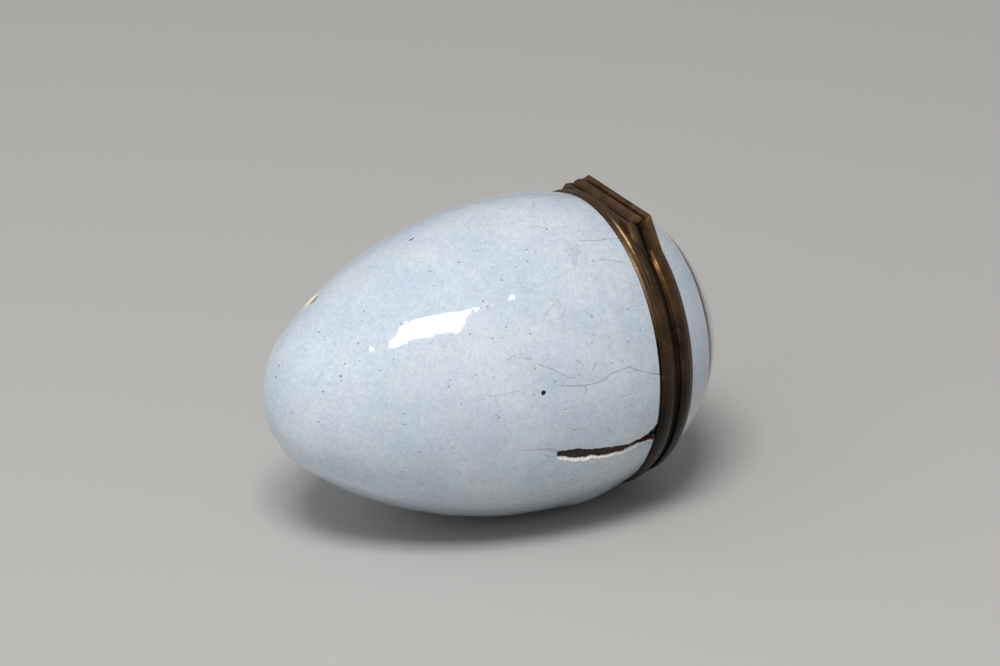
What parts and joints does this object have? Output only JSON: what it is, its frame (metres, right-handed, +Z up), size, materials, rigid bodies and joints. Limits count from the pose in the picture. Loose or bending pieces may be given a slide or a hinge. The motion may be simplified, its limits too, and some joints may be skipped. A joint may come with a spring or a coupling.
{
  "type": "enamelled trinket box",
  "caption": "Egg-shaped enamelled trinket box lying on its side, with a domed end lid that opens on a straight hinge in a beaded metal mount.",
  "frame": {"origin": "centre of the small worn flat on the belly that the egg rests on, under its widest section", "axes": "+X along the egg towards its lid, +Z up, +Y across, so the hinge runs along Y over the top"},
  "size_m": [0.0525, 0.035, 0.0349],
  "materials": {
    "pale_enamel": "gloss",
    "white_lining": "gloss",
    "copper": "satin",
    "mount_metal": "satin",
    "pin_steel": "satin"
  },
  "bodies": {
    "body": {"body_outer_enamel": "pale_enamel", "body_copper_shell": "copper", "body_counter_enamel": "white_lining", "body_mount_moulding": "mount_metal", "body_bezel_collar": "mount_metal", "body_hinge_bar": "mount_metal", "body_knuckle_1": "mount_metal", "body_knuckle_2": "mount_metal", "body_knuckle_3": "mount_metal", "hinge_pin": "pin_steel"},
    "lid": {"lid_outer_enamel": "pale_enamel", "lid_copper_shell": "copper", "lid_counter_enamel": "white_lining", "lid_mount_moulding": "mount_metal", "lid_hinge_bar": "mount_metal", "lid_knuckle_1": "mount_metal", "lid_knuckle_2": "mount_metal"}
  },
  "joints": [
    {"name": "lid_hinge", "type": "hinge", "parent": "body", "child": "lid", "pos_m": [0.0105, 0, 0.03261], "axis": [0, -1, 0], "range_deg": [0, 100]}
  ]
}
